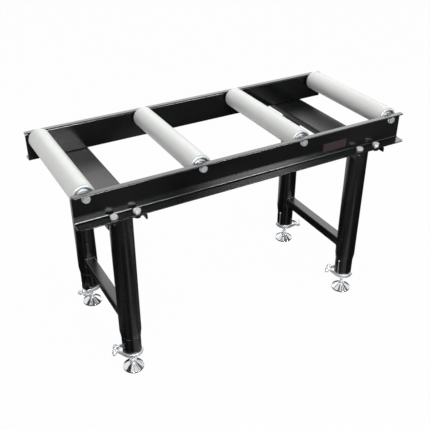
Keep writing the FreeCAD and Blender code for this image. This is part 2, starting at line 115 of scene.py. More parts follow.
def two_tone(tree, place, width, detail, tones, spread=(0.0, 1.0)):
    """Noise of one width, and the colour that it gives: from the first tone to the second, as the noise goes
    from the start of spread to its end."""
    noise = add(tree, "TexNoise", {"Vector": place, "Scale": 1 / width, "Detail": detail})
    share = add(tree, "MapRange", {
        "Value": noise.outputs["Fac"], "From Min": spread[0], "From Max": spread[1],
    }).outputs["Result"]
    colour = add(tree, "Mix", {
        "Factor": share, COLOUR_A: linear(tones[0]), COLOUR_B: linear(tones[1]),
    }, data_type="RGBA")
    return share, colour.outputs[COLOUR_OUT]


def surface(tree, inputs, shader="BsdfPrincipled"):
    """Ends a material with one shader that has these inputs."""
    add(tree, "OutputMaterial", {"Surface": add(tree, shader, inputs).outputs["BSDF"]})


def rounded(corners):
    """Closed outline whose corners (x, y, radius) become arcs. An arc starts and ends radius / tan(h) from
    the corner, about a centre radius / sin(h) along its bisector, where h is half the corner's angle."""
    spots = np.array([corner[:2] for corner in corners], float)
    share = np.linspace(0, 1, ARC_STEPS + 1)[:, None]
    arcs = []
    for number, spot in enumerate(spots):
        radius = corners[number][2]
        before = spots[number - 1] - spot
        after = spots[(number + 1) % len(corners)] - spot
        before = before / np.hypot(*before)
        after = after / np.hypot(*after)
        half = math.acos(np.clip(before @ after, -1, 1)) / 2
        bisector = (before + after) / (2 * math.cos(half))
        centre = spot + bisector * radius / math.sin(half)
        first = math.atan2(*(spot + before * radius / math.tan(half) - centre)[::-1])
        last = math.atan2(*(spot + after * radius / math.tan(half) - centre)[::-1])
        turn = first + share * ((last - first + math.pi) % (2 * math.pi) - math.pi)
        arcs.append(centre + radius * np.hstack([np.cos(turn), np.sin(turn)]))
    return np.vstack(arcs)


def outward(outline):
    """Unit normals of a closed outline: the chord between a point's neighbours, turned to point outwards."""
    chord = np.roll(outline, -1, 0) - np.roll(outline, 1, 0)
    area = np.sum(outline[:, 0] * np.roll(outline[:, 1], -1) - outline[:, 1] * np.roll(outline[:, 0], -1))
    normal = np.stack([chord[:, 1], -chord[:, 0]], -1) * np.sign(area)
    return normal / np.linalg.norm(normal, axis=1, keepdims=True)


def corner_drop(past, radius):
    """How far a rounded corner falls back at a distance past its start: radius - sqrt(radius^2 - past^2)."""
    past = np.clip(past, 0, radius)
    return radius - np.sqrt(radius ** 2 - past ** 2)


def stations(half, radii):
    """Places along a bar from -half to half, close together where end corners of these radii bend."""
    turn = np.linspace(0, np.pi / 2, END_STEPS + 1)
    ends = np.unique(np.concatenate([half - radius + radius * np.sin(turn) for radius in radii]).round(8))
    return np.concatenate([-ends[::-1], ends])


def quads(rows, columns, close_rows=False, close_columns=False):
    """Corner numbers of the faces between neighbouring rows and columns of a grid of points."""
    number = np.arange(rows * columns).reshape(rows, columns)
    if close_rows:
        number = np.vstack([number, number[:1]])
    if close_columns:
        number = np.hstack([number, number[:, :1]])
    return np.stack([number[:-1, :-1], number[:-1, 1:], number[1:, 1:], number[1:, :-1]], -1).reshape(-1, 4)


def bar(rows):
    """Shell through rows of closed outlines. Strips between an outline's two halves close each end."""
    count, around = rows.shape[:2]
    step = np.arange(around // 2 - 1)
    strip = np.stack([step, step + 1, around - 2 - step, around - 1 - step], -1)
    return rows, np.vstack([quads(count, around, close_columns=True), strip, strip + (count - 1) * around])


def piece(name, shells, finish, body, nodes=()):
    """Object made of shells of points and faces. Doubled points are merged, faces turned outwards, and
    normals weighted by face area, so that a flat beside a rounding stays flat."""
    sizes = [points.size // 3 for points, faces in shells]
    starts = np.cumsum([0] + sizes[:-1])
    mesh = bpy.data.meshes.new(name)
    mesh.from_pydata(
        np.vstack([points.reshape(-1, 3) for points, faces in shells]).tolist(), [],
        np.vstack([faces + start for (points, faces), start in zip(shells, starts)]).tolist(),
    )
    work = bmesh.new()
    work.from_mesh(mesh)
    bmesh.ops.remove_doubles(work, verts=work.verts, dist=MERGE)
    bmesh.ops.dissolve_degenerate(work, edges=work.edges, dist=MERGE)
    bmesh.ops.recalc_face_normals(work, faces=work.faces)
    work.to_mesh(mesh)
    work.free()
    mesh.shade_smooth()
    mesh.set_sharp_from_angle(angle=SHARP)
    mesh.materials.append(finish)
    made = bpy.data.objects.new(name, mesh)
    bpy.context.scene.collection.objects.link(made)
    made.modifiers.new("weighted_normals", "WEIGHTED_NORMAL").keep_sharp = True
    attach(made, body)
    if nodes:
        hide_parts(*nodes)
    return made


def enamel(name, low, high, gleam):
    """Stoved black enamel: a slight orange peel that bends reflections, and a roughness that drifts from
    low to high over a hand's width. Gleam is the strength of its mirror image."""
    made, tree, place = material(name)
    cloud, colour = two_tone(tree, place, CLOUD_WIDTH, 3.0, (ENAMEL_BLACK, ENAMEL_THIN))
    peel = add(tree, "TexNoise", {"Vector": place, "Scale": 1 / PEEL_WIDTH, "Detail": 1.0}).outputs["Fac"]
    gloss = add(tree, "MapRange", {"Value": cloud, "To Min": low, "To Max": high})
    ripple = add(tree, "Bump", {"Height": peel, "Strength": 0.25, "Distance": PEEL_DEPTH})
    surface(tree, {
        "Base Color": colour,
        "Roughness": gloss.outputs["Result"],
        "Specular IOR Level": gleam,
        "Normal": ripple.outputs["Normal"],
    })
    return made


# Gloss enamel on steel: deep black, with soft reflections.
black_enamel = enamel("stoved_black_enamel", low=0.2, high=0.32, gleam=0.5)
# The same enamel on flat sheet, where it runs out smoother: clearer mirror images.
flat_enamel = enamel("flat_black_enamel", low=0.12, high=0.2, gleam=0.5)

for side, sign in (("front", -1), ("rear", 1)):
    low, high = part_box(side + "_side_channel")
    web = min(abs(low.y), abs(high.y))
    reach = max(abs(low.y), abs(high.y)) - web
    height = high.z - low.z
    section = rounded([
        (TOP_FLANGE, height, TOP_TOE),
        (0, height, TOP_BEND),
        (0, 0, CORNER),
        (reach, 0, ENAMEL_EDGE),
        (reach, SHEET, ENAMEL_EDGE),
        (SHEET, SHEET, FILLET),
        (SHEET, height - SHEET, TOP_FILLET),
        (TOP_FLANGE, height - SHEET, ENAMEL_EDGE),
    ])
    x = stations(high.x, (ENAMEL_EDGE, TOP_CORNER, BOTTOM_CORNER))[:, None]
    inset = corner_drop(abs(x) - high.x + ENAMEL_EDGE, ENAMEL_EDGE)
    top_edge = (section[:, 0] > TOP_FLANGE - 2 * TOP_TOE) & (section[:, 1] > height / 2)
    bottom_edge = (section[:, 0] > reach - 2 * ENAMEL_EDGE) & (section[:, 1] < height / 2)
    drop = top_edge * corner_drop(abs(x) - high.x + TOP_CORNER, TOP_CORNER)
    drop = drop + bottom_edge * corner_drop(abs(x) - high.x + BOTTOM_CORNER, BOTTOM_CORNER)
    normal = outward(section)
    sheet = np.stack([
        x + 0 * section[:, 0],
        sign * (web + section[:, 0] - drop - normal[:, 0] * inset),
        low.z + section[:, 1] - normal[:, 1] * inset,
    ], -1)
    piece(side + "_channel_sheet", [bar(sheet)], flat_enamel, "frame",
          [side + "_side_channel"])

# Cross-members
# Two wide shallow channels of thicker sheet, open below, bolted under the side channels.
# Each carries a pair of legs, and has a thinner and duller coat of the black enamel.
CROSS_WALL = 4.0 * MM
CROSS_FOLD = 8.0 * MM

# Thinner enamel over a pickled sheet: the same black, with less gloss.
satin_enamel = enamel("satin_black_enamel", low=0.3, high=0.42, gleam=0.35)

for side in ("left", "right"):
    low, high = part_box(side + "_cross_member")
    section = rounded([
        (low.x, low.z, ENAMEL_EDGE),
        (low.x, high.z, CROSS_FOLD),
        (high.x, high.z, CROSS_FOLD),
        (high.x, low.z, ENAMEL_EDGE),
        (high.x - CROSS_WALL, low.z, ENAMEL_EDGE),
        (high.x - CROSS_WALL, high.z - CROSS_WALL, CROSS_FOLD - CROSS_WALL),
        (low.x + CROSS_WALL, high.z - CROSS_WALL, CROSS_FOLD - CROSS_WALL),
        (low.x + CROSS_WALL, low.z, ENAMEL_EDGE),
    ])
    y = stations(high.y, (ENAMEL_EDGE,))[:, None]
    inset = corner_drop(abs(y) - high.y + ENAMEL_EDGE, ENAMEL_EDGE)
    normal = outward(section)
    member = np.stack([
        section[:, 0] - normal[:, 0] * inset,
        y + 0 * section[:, 0],
        section[:, 1] - normal[:, 1] * inset,
    ], -1)
    piece(side + "_cross_sheet", [bar(member)], satin_enamel, "frame",
          [side + "_cross_member"])

# Leg tubes
# Four round steel tubes, each welded to the underside of a cross-member with one ripple-marked run.
# The lower end is turned down to a thin edge over the sleeve inside it.
LEGS = ("front_left", "front_right", "rear_left", "rear_right")
LEG_BORE = 27.35 * MM
LEG_TIP = 28.05 * MM
LEG_TAPER = 18.0 * MM
FINE_EDGE = 0.2 * MM  # rounding in a bore or a seat
SMALL_EDGE = 0.3 * MM  # rounding of other small edges
TUBE_STEPS = 128
BEAD = 2.6 * MM  # radius of a weld run
BEAD_SUNK = BEAD / 3  # middle of the run below the end of the tube
BEAD_WAVE = 3.4 * MM  # one ripple of the weld
BEAD_THIN = 0.85  # of the radius, between two ripples
BEAD_SWELL = 0.2  # of the radius, added on a ripple
BEAD_STEPS = 14  # round the run
BEAD_POINTS = 6  # along one ripple
STEEL_BARE = "#d0d0d2"
# Painted highlight: a thin bright line on the turned lower edge of two legs, drawn as patches of bare steel.
WORN_LEGS = ("front_left", "rear_left")
WORN_RISE = 0.9 * MM
WORN_PROUD = 0.08 * MM
WORN_SUNK = 3 * WORN_PROUD
WORN_WIDTH = 16.0 * MM  # one bare patch
WORN_SPREAD = (0.46, 0.56)  # of the noise, from black to bare

# Painted highlight along the turned edge of a leg tube: bare steel in patches, black between them.
worn_edge, tree, place = material("painted_highlight_on_enamel_edge")
patch, colour = two_tone(tree, place, WORN_WIDTH, 3.0, (ENAMEL_THIN, STEEL_BARE), WORN_SPREAD)
surface(tree, {"Base Color": colour, "Metallic": patch, "Roughness": 0.38})


def leg_place(leg):
    """Point on the floor under the middle of a leg."""
    low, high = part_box(leg + "_leg_tube")
    return np.array([(low.x + high.x) / 2, (low.y + high.y) / 2, 0])


def lathe(profile, centre, steps=TUBE_STEPS, along_y=False, loop=True):
    """Shell of revolution: profile point (r, h) at angle a is (r cos a, r sin a, h), or along Y
    (r sin a, h, r cos a)."""
    angle = np.linspace(0, 2 * np.pi, steps, endpoint=False)[:, None]
    radius, height = np.asarray(profile, float).T
    grid = np.stack([radius * np.cos(angle), radius * np.sin(angle), height + 0 * angle], -1)
    if along_y:
        grid = grid[..., [1, 2, 0]]
    return grid + np.array(centre), quads(steps, len(radius), True, loop)


def weld(path, across, up):
    """Closed weld run: a circle in the plane of across and up at each point of the path, whose radius
    swells by a fifth as |sin| of the distance along the path, which gives the pointed ripples of a laid
    bead."""
    step = np.linalg.norm(np.roll(path, -1, 0) - path, axis=1)
    length = np.cumsum(step) - step
    waves = round(step.sum() / BEAD_WAVE)
    ripple = abs(np.sin(np.pi * waves * length / step.sum()))
    swell = BEAD * (BEAD_THIN + BEAD_SWELL * ripple)[:, None, None]
    angle = np.linspace(0, 2 * np.pi, BEAD_STEPS, endpoint=False)[None, :, None]
    grid = path[:, None] + swell * (np.cos(angle) * across[:, None] + np.sin(angle) * up[:, None])
    return grid, quads(len(path), BEAD_STEPS, True, True)


for leg in LEGS:
    low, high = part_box(leg + "_leg_tube")
    centre = leg_place(leg)
    outer = (high.x - low.x) / 2
    profile = rounded([
        (LEG_BORE, low.z, FINE_EDGE),
        (LEG_TIP, low.z, SMALL_EDGE),
        (outer, low.z + LEG_TAPER, LEG_TAPER / 3),
        (outer, high.z, ENAMEL_EDGE),
        (LEG_BORE, high.z, ENAMEL_EDGE),
    ])
    turn = np.linspace(0, 2 * np.pi, BEAD_POINTS * round(2 * np.pi * outer / BEAD_WAVE), endpoint=False)
    ring = np.stack([np.cos(turn), np.sin(turn), 0 * turn], -1)
    seam = centre + ring * outer + [0, 0, high.z - BEAD_SUNK]
    run = weld(seam, ring, np.tile([0.0, 0.0, 1.0], (len(turn), 1)))
    tube = lathe(profile, centre)
    piece(leg + "_leg_tube_drawn", [tube], black_enamel, "frame", [leg + "_leg_tube"])
    piece(leg + "_leg_weld", [run], black_enamel, "frame")
    if leg not in WORN_LEGS:
        continue
    # A thin ring at the tip of the tube carries the painted highlight.
    slope = (outer - LEG_TIP) / LEG_TAPER
    collar = [
        (LEG_TIP - WORN_SUNK, low.z - WORN_PROUD),
        (LEG_TIP + WORN_PROUD, low.z - WORN_PROUD),
        (LEG_TIP + WORN_PROUD + slope * WORN_RISE, low.z + WORN_RISE),
        (LEG_TIP - WORN_SUNK, low.z + WORN_RISE),
    ]
    piece(leg + "_worn_edge", [lathe(collar, centre)], worn_edge, "frame")

# Leg sleeves
# A shorter tube fixed in the lower end of each leg tube. Its end is sawn up to a round hole so that the clamp
# can close it on the tube that draws out. Black enamel, with bare steel in the saw cut.
SLIT = 2.5 * MM
SLIT_HOLE = 3.5 * MM  # radius
SLIT_LENGTH = 57.0 * MM
SLIT_TURN = math.radians(15)  # from facing the middle of the table, to the front
SLEEVE_WALL = 2.7 * MM
LIP_STEPS = 5  # along the rounded lower edge
HOLE_STEPS = 15  # along half the rim of the hole
SAWN_SKIN = 0.15 * MM
SAWN_MARK = 0.9 * MM

# Sawn steel: bare and bright, with fine marks across the cut.
sawn_steel, tree, place = material("sawn_bare_steel")
mark = add(tree, "TexNoise", {"Vector": place, "Scale": 1 / SAWN_MARK, "Detail": 3.0}).outputs["Fac"]
gloss = add(tree, "MapRange", {"Value": mark, "To Min": 0.35, "To Max": 0.6})
surface(tree, {"Base Color": linear(STEEL_BARE), "Metallic": 0.5, "Roughness": gloss.outputs["Result"]})

for leg in LEGS:
    low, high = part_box(leg + "_leg_sleeve")
    centre_x = (low.x + high.x) / 2
    centre_y = (low.y + high.y) / 2
    outer = (high.y - low.y) / 2
    hole_z = low.z + SLIT_LENGTH
    facing = -SLIT_TURN if centre_x < 0 else math.pi + SLIT_TURN
    lip = ENAMEL_EDGE * (1 - np.cos(np.linspace(0, np.pi / 2, LIP_STEPS)))
    rise = np.linspace(-math.acos(SLIT / 2 / SLIT_HOLE), math.pi / 2, HOLE_STEPS)
    z = np.concatenate([
        low.z + ENAMEL_EDGE * (1 - np.sin(np.linspace(np.pi / 2, 0, LIP_STEPS))),
        hole_z + SLIT_HOLE * np.sin(rise),
        [high.z],
    ])
    opening = np.concatenate([np.full(LIP_STEPS, SLIT / 2), SLIT_HOLE * np.cos(rise), [0.0]]).clip(0)
    opening[-2] = 0.0  # the top of the hole
    fall = np.concatenate([lip[::-1], np.zeros(len(z) - LIP_STEPS)])
    radius = np.concatenate([outer - fall, (outer - SLEEVE_WALL + fall)[::-1]])
    height = np.concatenate([z, z[::-1]])
    gap = np.concatenate([opening, opening[::-1]]) / outer
    share = np.linspace(0, 1, TUBE_STEPS + 1)[:, None]
    angle = facing + gap + share * (2 * np.pi - 2 * gap)
    wall = np.stack([
        centre_x + radius * np.cos(angle), centre_y + radius * np.sin(angle), height + 0 * angle,
    ], -1)
    step = np.arange(len(z) - 1)
    step = step[opening[:-1] > 0]
    lips = np.stack([step, step + 1, 2 * len(z) - 2 - step, 2 * len(z) - 1 - step], -1)
    faces = np.vstack([
        quads(TUBE_STEPS + 1, 2 * len(z), close_columns=True), lips, lips + TUBE_STEPS * 2 * len(z),
    ])
    piece(leg + "_sleeve_slit", [(wall, faces)], black_enamel, "frame", [leg + "_leg_sleeve"])
    cut = opening > 2 * SAWN_SKIN
    skins = []
    for side in (-1, 1):
        reach = np.array([outer - SLEEVE_WALL, outer, outer, outer - SLEEVE_WALL])
        skin = np.array([0.0, 0.0, SAWN_SKIN, SAWN_SKIN])
        angle = facing + side * (opening[cut][:, None] - skin) / outer
        skins.append(bar(np.stack([
            centre_x + reach * np.cos(angle), centre_y + reach * np.sin(angle), z[cut][:, None] + 0 * angle,
        ], -1)))
    piece(leg + "_slit_faces", skins, sawn_steel, "frame")

# Stretchers
# A square tube welded between the front and the rear leg of each pair, with its ends cut to the round of the
# legs and a weld run all round each end.
STRETCHER_WALL = 2.0 * MM
STRETCHER_CORNER = 2.4 * MM
CORNERS = ((-1, -1), (1, -1), (1, 1), (-1, 1))  # of a rectangle, in order


def rectangle(half_x, half_y, radius):
    """Outline of a rectangle about the origin, with its corners rounded."""
    return rounded([(x * half_x, y * half_y, radius) for x, y in CORNERS])


def saddle(outline, end, middle, leg_y, leg_radius):
    """An end of the tube: its outline carried along Y to the leg's round, y = leg - sqrt(R^2 - x^2)."""
    y = end * (leg_y - np.sqrt(leg_radius ** 2 - outline[:, 0] ** 2))
    return np.stack([middle[0] + outline[:, 0], y, middle[1] + outline[:, 1]], -1)


def evenly(outline, count):
    """Points spaced evenly by distance round a closed outline, on the straight lines between its points."""
    ring = np.vstack([outline, outline[:1]])
    length = np.concatenate([[0], np.cumsum(np.linalg.norm(np.diff(ring, axis=0), axis=1))])
    at = np.linspace(0, length[-1], count, endpoint=False)
    return np.stack([np.interp(at, length, ring[:, axis]) for axis in (0, 1)], -1)


for side in ("left", "right"):
    low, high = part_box(side + "_stretcher")
    leg_low, leg_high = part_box("rear_" + side + "_leg_tube")
    leg_y = (leg_low.y + leg_high.y) / 2
    leg_radius = (leg_high.y - leg_low.y) / 2
    middle = np.array([(low.x + high.x) / 2, (low.z + high.z) / 2])
    half = (high.z - low.z) / 2
    inner = half - STRETCHER_WALL
    wide = rectangle(half, half, STRETCHER_CORNER)
    narrow = rectangle(inner, inner, STRETCHER_CORNER - STRETCHER_WALL)
    ends = ((wide, -1), (wide, 1), (narrow, 1), (narrow, -1))
    tube = np.stack([saddle(outline, end, middle, leg_y, leg_radius) for outline, end in ends])
    shell = (tube, quads(len(ends), len(wide), True, True))
    piece(side + "_stretcher_tube", [shell], black_enamel, "frame", [side + "_stretcher"])
    runs = []
    for end in (-1, 1):
        outline = evenly(wide, BEAD_POINTS * round(8 * half / BEAD_WAVE))
        seam = saddle(outline, end, middle, leg_y, leg_radius)
        radial = np.stack([outline[:, 0], seam[:, 1] - end * leg_y, 0 * outline[:, 0]], -1) / leg_radius
        normal = outward(outline)
        runs.append(weld(seam, radial, np.stack([normal[:, 0], 0 * normal[:, 0], normal[:, 1]], -1)))
    piece(side + "_stretcher_welds", runs, black_enamel, "frame")

# Leg bolts and nuts
# Hexagon-headed steel bolts through the bottom flanges and the cross-members, with a clear zinc plate.
# The nuts are welded under the cross-members and painted with them.
THREAD = 5.0 * MM  # radius
THREAD_PITCH = 1.5 * MM
FLATS = 17.0 * MM
HEAD = 6.5 * MM
NUT = 8.0 * MM
BOLT_END = 3.0 * MM
LEG_BOLT_PITCH = 60.0 * MM
LEG_BOLT_INSET = 16.0 * MM  # from the edge of the bottom flange
HEAD_TURN = 0.7  # radians from one head to the next, so that no two stop at the same angle
NUT_TURN = 1.3
HEX_STEPS = 8  # round each of the six sides
CHAMFER_CIRCLE = 0.47  # radius of the chamfer circle, in widths over the flats
CHAMFER = math.radians(30)
THREAD_SHARE = (0.0, 0.125, 0.4375, 0.6875)  # where crest and root start and end, in pitches
THREAD_DEPTH = 0.54  # in pitches
THREAD_STEPS = 20  # in one turn
ZINC_WHITE = "#fafaf8"
ZINC_PALE = "#e8eced"
ZINC_BRIGHT = "#f2f3f2"
ZINC_BLUE = "#d0dce2"
ZINC_GRAIN = 1.5 * MM
ZINC_GRAIN_DEPTH = 0.03 * MM
FORGE_WIDTH = 7.0 * MM  # one lump of a forged head
CLOUDY = (0.35, 0.65)  # of the noise, from one tint to the other


def hexagon(flats, height, bore=0.0, upper_only=False):
    """Hexagon head or nut along Z. Its radius at angle a is (flats / 2) / cos(a from the middle of a side),
    and the 30 degree chamfer takes tan 30 of what stands outside the chamfer circle off its ends."""
    angle = np.linspace(0, 2 * np.pi, 6 * HEX_STEPS, endpoint=False)
    corner = flats / 2 / np.cos((angle + math.pi / 6) % (math.pi / 3) - math.pi / 6)
    circle = np.full_like(angle, CHAMFER_CIRCLE * flats)
    cut = (corner - circle) * math.tan(CHAMFER)
    none = 0 * angle
    radius = np.stack([none + bore, circle, corner, corner, circle, none + bore], -1)
    rise = np.stack([none, none, none if upper_only else cut, height - cut, none + height, none + height], -1)
    turn = angle[:, None]
    grid = np.stack([radius * np.cos(turn), radius * np.sin(turn), rise], -1)
    return grid, quads(*radius.shape, True, bore > 0)


def thread(radius, pitch, low, high):
    """Screw thread along Z on a grid that climbs one pitch in a turn: rows follow the thread's profile, a
    crest of an eighth and a root of a quarter of the pitch, and are held to the two ends, which close on
    the axis."""
    root = radius - THREAD_DEPTH * pitch
    turns = np.arange(-1, math.ceil((high - low) / pitch) + 1)
    rows = (turns[:, None] + np.array(THREAD_SHARE)).ravel()
    across = np.tile([radius, radius, root, root], len(turns))
    share = np.linspace(0, 1, THREAD_STEPS + 1)
    z = low + pitch * (rows[:, None] + share)
    held = np.clip(z, low, high)
    width = np.where((z < low) | (z > high), root, across[:, None])
    grid = np.stack([width * np.cos(2 * np.pi * share), width * np.sin(2 * np.pi * share), held], -1)
    first = 0 * grid[:1] + [0, 0, low]
    last = 0 * grid[:1] + [0, 0, high]
    grid = np.vstack([first, grid, last])
    return grid, quads(len(grid), THREAD_STEPS + 1)


def moved(shell, place, direction=(0, 0, 1), turn=0.0):
    """Copy of a shell made along Z: turned about Z, laid along a level or upright direction, and put in
    place."""
    points, faces = shell
    spin = np.array([[math.cos(turn), -math.sin(turn), 0], [math.sin(turn), math.cos(turn), 0], [0, 0, 1]])
    along = np.array(direction, float)
    side = np.array([1.0, 0, 0]) if along[2] else np.array([along[1], -along[0], 0])
    axes = np.stack([side, np.cross(along, side), along])
    return points @ spin.T @ axes + np.array(place), faces


def zinc_plate(name, bright, blue, metallic):
    """Zinc plate: pale metal, cloudy between two tints, with the soft lumps of a forged head."""
    made, tree, place = material(name)
    grain = add(tree, "TexNoise", {"Vector": place, "Scale": 1 / ZINC_GRAIN, "Detail": 4.0}).outputs["Fac"]
    colour = two_tone(tree, place, FORGE_WIDTH, 2.0, (bright, blue), CLOUDY)[1]
    gloss = add(tree, "MapRange", {"Value": grain, "To Min": 0.28, "To Max": 0.46})
    ripple = add(tree, "Bump", {"Height": grain, "Strength": 0.3, "Distance": ZINC_GRAIN_DEPTH})
    surface(tree, {
        "Base Color": colour,
        "Metallic": metallic,
        "Roughness": gloss.outputs["Result"],
        "Normal": ripple.outputs["Normal"],
    })
    return made


# Clear zinc on forged heads: nearly white, and scatters more than it mirrors.
clear_zinc = zinc_plate("clear_zinc_plate", ZINC_WHITE, ZINC_PALE, metallic=0.15)
# Bright zinc with a bluish passivation: half mirror, half cloudy.
bright_zinc = zinc_plate("bright_zinc_plate", ZINC_BRIGHT, ZINC_BLUE, metallic=0.5)

flange_low, flange_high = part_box("rear_side_channel")
cross_low, cross_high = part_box("right_cross_member")
bolt_y = flange_high.y - LEG_BOLT_INSET
leg_x = (cross_low.x + cross_high.x) / 2
nut_top = cross_high.z - CROSS_WALL
heads = []
nuts = []
for number, (side_x, bolt_side, side_y) in enumerate(np.ndindex(2, 2, 2)):
    x = (2 * side_x - 1) * leg_x + (bolt_side - 0.5) * LEG_BOLT_PITCH
    y = (2 * side_y - 1) * bolt_y
    head = hexagon(FLATS, HEAD, upper_only=True)
    heads.append(moved(head, (x, y, flange_low.z + SHEET), turn=HEAD_TURN * number))
    heads.append(moved(thread(THREAD, THREAD_PITCH, -NUT - BOLT_END, 2 * SHEET), (x, y, nut_top)))
    nuts.append(moved(hexagon(FLATS, NUT, bore=THREAD), (x, y, nut_top - NUT), turn=NUT_TURN * number))
piece("leg_bolts_plated", heads, clear_zinc, "frame", ["leg_bolts"])
piece("leg_nuts_painted", nuts, black_enamel, "frame", ["leg_nuts"])

# Clamp straps
# A strip of steel bent round the slit end of each sleeve, with two arms that end in ears.
# Chrome plated in a barrel, unpolished.
CLAMP_WALL = 4.0 * MM
CLAMP_REACH = 55.5 * MM  # leg axis to the ends of the ears
CLAMP_EAR = 14.0 * MM
CLAMP_EAR_CORNER = 5.0 * MM
CLAMP_GAP = 10.0 * MM  # between the ears
CLAMP_BEND = 6.0 * MM
CLAMP_EDGE = 1.1 * MM
CLAMP_CLEAR = 0.1 * MM  # between sleeve and strap
CLAMP_TURN = {"front_left": 152.0, "front_right": 128.0, "rear_left": -140.0, "rear_right": -28.0}  # degrees
EAR_STEPS = 8  # along the rounded tip of an ear
STRAP_STEPS = 96  # round the sleeve
CHROME = "#e4e4e7"
CHROME_SMEAR = 25.0 * MM


def chrome_plate(name, metallic, low, high):
    """Chrome plate: neutral metal with faint smears that take its roughness from low to high."""
    made, tree, place = material(name)
    smear = add(tree, "TexNoise", {"Vector": place, "Scale": 1 / CHROME_SMEAR, "Detail": 5.0}).outputs["Fac"]
    gloss = add(tree, "MapRange", {
        "Value": smear, "From Min": 0.3, "From Max": 0.7, "To Min": low, "To Max": high,
    })
    surface(tree, {"Base Color": linear(CHROME), "Metallic": metallic, "Roughness": gloss.outputs["Result"]})
    return made


# Chrome over an unpolished strip: pale and soft, with only dim reflections.
barrel_chrome = chrome_plate("barrel_chrome_plate", metallic=0.6, low=0.28, high=0.42)

clamp_low, clamp_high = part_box("leg_clamps")
clamp_z = (clamp_low.z + clamp_high.z) / 2
clamp_half = (clamp_high.z - clamp_low.z) / 2
sleeve_low, sleeve_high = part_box("front_left_leg_sleeve")
strap_radius = (sleeve_high.y - sleeve_low.y) / 2 + CLAMP_CLEAR + CLAMP_WALL / 2
ear_y = (CLAMP_GAP + CLAMP_WALL) / 2
ear_start = CLAMP_REACH - CLAMP_EAR


def strap():
    """Strap along its middle line: ear, bend, tangent arm, round the sleeve and back by the other arm. The
    section is a strip with rounded edges, and falls off in height towards the tips as the ears' corners
    do."""
    lean = math.atan2(ear_y, ear_start) + math.acos(strap_radius / math.hypot(ear_start, ear_y))
    touch = strap_radius * np.array([math.cos(lean), math.sin(lean)])
    tip = CLAMP_REACH - CLAMP_EAR_CORNER + CLAMP_EAR_CORNER * np.sin(np.linspace(np.pi / 2, 0, EAR_STEPS))
    corners = [(CLAMP_REACH, ear_y, 0), (ear_start, ear_y, CLAMP_BEND), (*touch, 0)]
    bend = rounded(corners)[ARC_STEPS + 1:2 * (ARC_STEPS + 1)]
    arm = np.vstack([np.stack([tip, 0 * tip + ear_y], -1), bend])
    turn = np.linspace(lean, 2 * np.pi - lean, STRAP_STEPS + 1)
    line = np.vstack([arm, strap_radius * np.stack([np.cos(turn), np.sin(turn)], -1), (arm * [1, -1])[::-1]])
    ahead = np.gradient(line, axis=0)
    across = np.stack([ahead[:, 1], -ahead[:, 0]], -1) / np.linalg.norm(ahead, axis=1, keepdims=True)
    section = rectangle(CLAMP_WALL / 2, clamp_half, CLAMP_EDGE)
    drop = corner_drop(line[:, :1] - CLAMP_REACH + CLAMP_EAR_CORNER, CLAMP_EAR_CORNER)
    plan = line[:, None] + across[:, None] * section[None, :, :1]
    rise = section[:, 1] - np.sign(section[:, 1]) * drop
    return bar(np.concatenate([plan, rise[..., None]], -1))


def on_clamp(shell, leg):
    """Copy of a clamp piece turned to its leg's own angle, at the height of the strap."""
    return moved(shell, leg_place(leg) + [0, 0, clamp_z], turn=math.radians(CLAMP_TURN[leg]))


straps = [on_clamp(strap(), leg) for leg in LEGS]
piece("leg_clamps_bent", straps, barrel_chrome, "frame", ["leg_clamps"])

# Clamp bolts and nuts
# A small hexagon bolt through the two ears of each strap, with its nut and a length of thread beyond it.
# Zinc plated like the other fasteners.
CLAMP_THREAD = 4.0 * MM  # radius
CLAMP_PITCH = 1.25 * MM
CLAMP_FLATS = 13.0 * MM
CLAMP_HEAD = 5.5 * MM
CLAMP_NUT = 6.5 * MM
CLAMP_BOLT_END = 9.0 * MM
CLAMP_HEAD_TURN = 0.3  # radians
CLAMP_NUT_TURN = 0.8

ear_face = CLAMP_GAP / 2 + CLAMP_WALL
bolt_x = CLAMP_REACH - CLAMP_EAR / 2
head = hexagon(CLAMP_FLATS, CLAMP_HEAD, upper_only=True)
shank = thread(CLAMP_THREAD, CLAMP_PITCH, -ear_face, ear_face + CLAMP_NUT + CLAMP_BOLT_END)
bolt = [
    moved(head, (bolt_x, -ear_face, 0), (0, -1, 0), CLAMP_HEAD_TURN),
    moved(shank, (bolt_x, 0, 0), (0, 1, 0)),
]
nut = hexagon(CLAMP_FLATS, CLAMP_NUT, bore=CLAMP_THREAD)
nut = moved(nut, (bolt_x, ear_face, 0), (0, 1, 0), CLAMP_NUT_TURN)
bolts = [on_clamp(shell, leg) for leg in LEGS for shell in bolt]
nuts = [on_clamp(nut, leg) for leg in LEGS]
piece("clamp_bolts_plated", bolts, bright_zinc, "frame", ["clamp_bolts"])
piece("clamp_nuts_plated", nuts, bright_zinc, "frame", ["clamp_nuts"])

# Drawn-out tubes and their plugs
# A plated steel tube that slides in each sleeve and stays where the clamp holds it, with a threaded plug
# pressed into its foot. Satin zinc with faint drawing lines along the tube.
SATIN_ZINC = "#e1e2e0"
SATIN_SHADE = "#d6d8d6"
SATIN_METAL = 0.35  # a clouded plate scatters more than it mirrors
SATIN_LINE = 1.6 * MM  # drawn coarser than the real lines, which are too fine to show
SATIN_LINE_DEPTH = 0.02 * MM
SATIN_CLOUD = 60.0 * MM
LINE_STRETCH = 0.02  # scale of the pattern along its lines, against 1 across them


